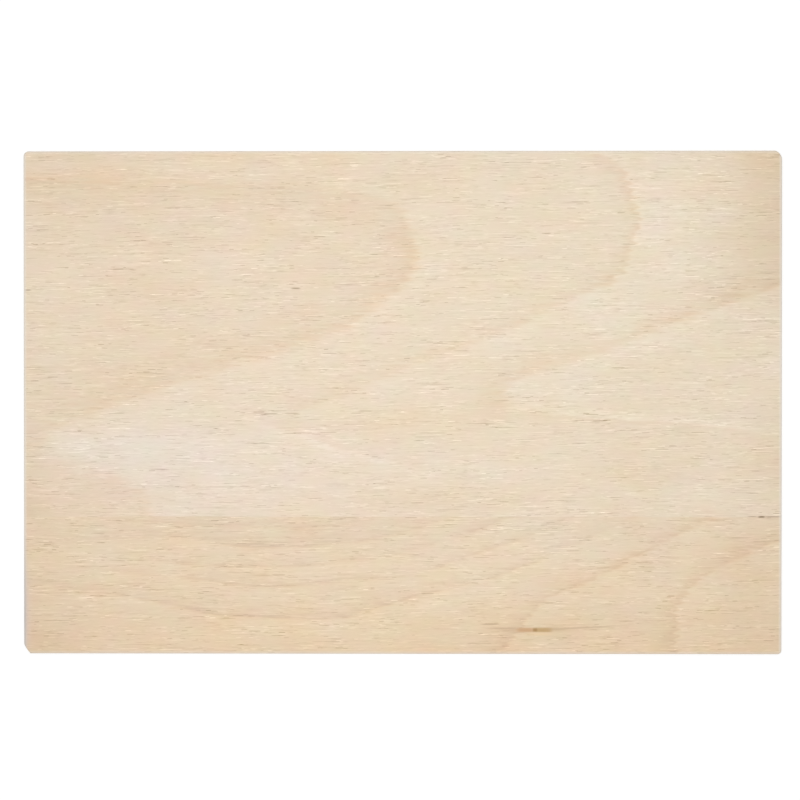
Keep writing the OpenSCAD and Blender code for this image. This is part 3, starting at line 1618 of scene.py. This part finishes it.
    def lay_out(self, mesh: bpy.types.Mesh) -> None:
        """Gives the mesh a map on which the face gets most of the room.

        Args:
            mesh: The finished mesh.
        """
        corners = read_all(mesh.loops, "vertex_index", kind=int)
        sides = read_all(mesh.polygons, "loop_total", kind=int)
        slots = np.repeat(read_all(mesh.polygons, "material_index", kind=int), sides)
        normals = np.repeat(read_all(mesh.polygons, "normal", 3), sides, axis=0)
        places = read_all(mesh.vertices, "co", 3)[corners]
        share = (places - np.array(self.low)) / np.array(self.high - self.low)
        names = [material.name for material in mesh.materials]
        spots = np.zeros((len(corners), 2))
        room = 1.0 - 2.0 * self.map_margin
        for part, (bottom, top) in ((Part.FACE, self.face_rows), (Part.BACK, self.back_rows)):
            here = slots == names.index(part.value)
            spots[here, 0] = self.map_margin + room * share[here, 0]
            spots[here, 1] = bottom + (top - bottom) * share[here, 1]
        edge = slots == names.index(Part.EDGE.value)
        faces_x = np.abs(normals[:, 0]) > np.abs(normals[:, 1])
        for row, (axis, sign) in enumerate(((0, -1), (0, 1), (1, -1), (1, 1))):
            here = edge & (faces_x == (axis == 0)) & (normals[:, axis] * sign > 0)
            spots[here, 0] = self.map_margin + room * share[here, 1 - axis]
            spots[here, 1] = self.edge_bottom + self.edge_step * row + self.edge_height * share[here, 2]
        mesh.uv_layers.new(name=BAKE_MAP).data.foreach_set("uv", spots.ravel())

    def build(self, face: FaceVeneer, back: BackVeneer, edge: SawnEdge) -> bpy.types.Object:
        """Shapes the sheet and puts its finishes on.

        Args:
            face: The finish of the face.
            back: The finish of the back.
            edge: The finish of the four edges.

        Returns:
            The finished sheet.
        """
        tree = self.form()
        values = {
            "Length": self.high.x - self.low.x,
            "Width": self.high.y - self.low.y,
            "Cells Along": self.cells_along,
            "Cells Across": self.cells_across,
            "Corner Zone": self.corner_zone * MM,
            **{finish.part.value: finish.material() for finish in (edge, face, back)},
        }
        carrier = add_object(FORM, bpy.data.meshes.new(FORM))
        former = carrier.modifiers.new(FORM, "NODES")
        former.node_group = tree
        for item in tree.interface.items_tree:
            if item.in_out == "INPUT":
                former[item.identifier] = values[item.name]
        evaluated = carrier.evaluated_get(bpy.context.evaluated_depsgraph_get())
        mesh = bpy.data.meshes.new_from_object(evaluated)
        mesh.name = PIECE
        bpy.data.objects.remove(carrier)
        for slot in reversed(range(len(mesh.materials))):
            if mesh.materials[slot] is None:
                mesh.materials.pop(index=slot)
        self.lay_out(mesh)
        face.keep(mesh)
        return add_object(PIECE, mesh)

    def dress(self, sheet: bpy.types.Object) -> None:
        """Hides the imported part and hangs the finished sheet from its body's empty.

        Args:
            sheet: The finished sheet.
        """
        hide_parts(SHEET_NODE)
        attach(sheet, SHEET_BODY)


@dataclass
class Studio:
    """The floor, the light and the camera. Lengths are in metres unless a name says otherwise."""

    low: Vector
    high: Vector
    # Where the sheet's sides lie in the picture, in pixels of a square frame.
    picture_px: float = 800.0
    left_px: float = 23.0
    right_px: float = 781.3
    top_px: float = 151.15
    bottom_px: float = 654.15
    lens_mm: float = 100.0
    sensor_mm: float = 36.0
    # How far the camera stands to the right of the middle of the picture, and above it.
    lean_right: float = 0.0093
    lean_up: float = 0.0078
    fill: float = 0.5
    lamp_power: float = 1.55
    lamp_side: float = 0.4
    lamp_place: tuple[float, float, float] = (-0.01, 0.02, 0.52)
    floor_side: float = 8.0
    floor_drop: float = 0.0002
    floor_colour: Colour = (236, 236, 236)
    floor_roughness: float = 0.9
    # The floor as the camera sees it: how much light it throws back, and how much is added.
    seen_base: float = 0.35
    seen_glow: float = 0.75

    def seen_rays(self, bench: NodeBench) -> Value:
        """Adds a mask of the rays by which the camera sees something.

        Args:
            bench: Where the nodes go.

        Returns:
            1 for a ray that comes straight, mirrored or through glass, and 0 for any other.
        """
        rays = bench.put("ShaderNodeLightPath").outputs
        names = ("Is Camera Ray", "Is Glossy Ray", "Is Transmission Ray")
        straight, mirrored, through = (Value(bench, rays[name]) for name in names)
        return straight.at_least(mirrored).at_least(through)

    def floor_finish(self) -> bpy.types.Material:
        """Builds the floor's material, which the camera sees as white.

        Returns:
            The material.
        """
        made = bpy.data.materials.new("Floor")
        bench = NodeBench.cleared(made)
        seen = self.seen_rays(bench)
        seen_colour = (self.seen_base, self.seen_base, self.seen_base, 1.0)
        bench.surface(
            {
                "Base Color": seen.blend(linear(self.floor_colour), seen_colour),
                "Roughness": self.floor_roughness,
                "Specular IOR Level": 0.0,
                "Emission Color": WHITE,
                "Emission Strength": seen * self.seen_glow,
            }
        )
        return made

    def floor(self) -> None:
        """Lays a plain pale floor just under the sheet."""
        half = self.floor_side / 2
        drop = self.low.z - self.floor_drop
        sides = ((-half, -half), (half, -half), (half, half), (-half, half))
        mesh = bpy.data.meshes.new("Floor")
        mesh.from_pydata([(x, y, drop) for x, y in sides], [], [(0, 1, 2, 3)])
        mesh.materials.append(self.floor_finish())
        floor = add_object("Floor", mesh)

    def light(self) -> None:
        """Sets an even white surrounding and one soft lamp overhead."""
        world = bpy.data.worlds.new("Studio")
        bench = NodeBench.cleared(world)
        strength = self.seen_rays(bench).lerp(self.fill, 1.0)
        glow = bench.put("ShaderNodeBackground", {"Color": WHITE, "Strength": strength})
        bench.put("ShaderNodeOutputWorld", {"Surface": glow.outputs["Background"]})
        bpy.context.scene.world = world
        lamp = bpy.data.lights.new("Soft lamp", "AREA")
        lamp.shape = "SQUARE"
        lamp.size = self.lamp_side
        lamp.energy = self.lamp_power
        add_object("Soft lamp", lamp).location = self.lamp_place

    def camera(self) -> None:
        """Hangs the camera over the sheet, where the photograph was taken from."""
        metres_per_px = (self.high.x - self.low.x) / (self.right_px - self.left_px)
        middle_px = self.picture_px / 2
        off_right = (middle_px - (self.left_px + self.right_px) / 2) * metres_per_px
        off_up = ((self.top_px + self.bottom_px) / 2 - middle_px) * metres_per_px
        middle = (self.low + self.high) / 2
        aim = Vector((middle.x + off_right, middle.y + off_up, self.high.z))
        height = self.picture_px * metres_per_px * self.lens_mm / self.sensor_mm
        place = aim + Vector((self.lean_right, self.lean_up, height))
        back = (place - aim).normalized()
        right = Vector((0.0, 1.0, 0.0)).cross(back).normalized()
        turn = Matrix((right, back.cross(right), back)).transposed()
        data = bpy.data.cameras.new("Camera")
        data.lens = self.lens_mm
        data.sensor_width = self.sensor_mm
        data.dof.use_dof = False
        holder = add_object("Camera", data)
        holder.matrix_world = Matrix.Translation(place) @ turn.to_4x4()
        bpy.context.scene.camera = holder
        bpy.context.scene.view_settings.view_transform = "Standard"

    def build(self) -> None:
        """Sets up the whole studio."""
        for step in (self.floor, self.light, self.camera):
            step()


def main() -> None:
    """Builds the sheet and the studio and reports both."""
    logging.basicConfig(level=logging.INFO)
    low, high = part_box(SHEET_NODE)
    part = PlywoodSheet(low, high)
    face = FaceVeneer(part.half_size)
    edge = SawnEdge(part.size.z, part.face_ply)
    sheet = part.build(face, BackVeneer(), edge)
    part.dress(sheet)
    finishes = [finish.name for finish in sheet.data.materials]
    log.info("%s: %d faces, finishes %s", PIECE, len(sheet.data.polygons), finishes)
    studio = Studio(low, high)
    studio.build()
    log.info("studio: floor %.1f m wide, lamp %.2f W", studio.floor_side, studio.lamp_power)


if __name__ == "__main__":
    main()
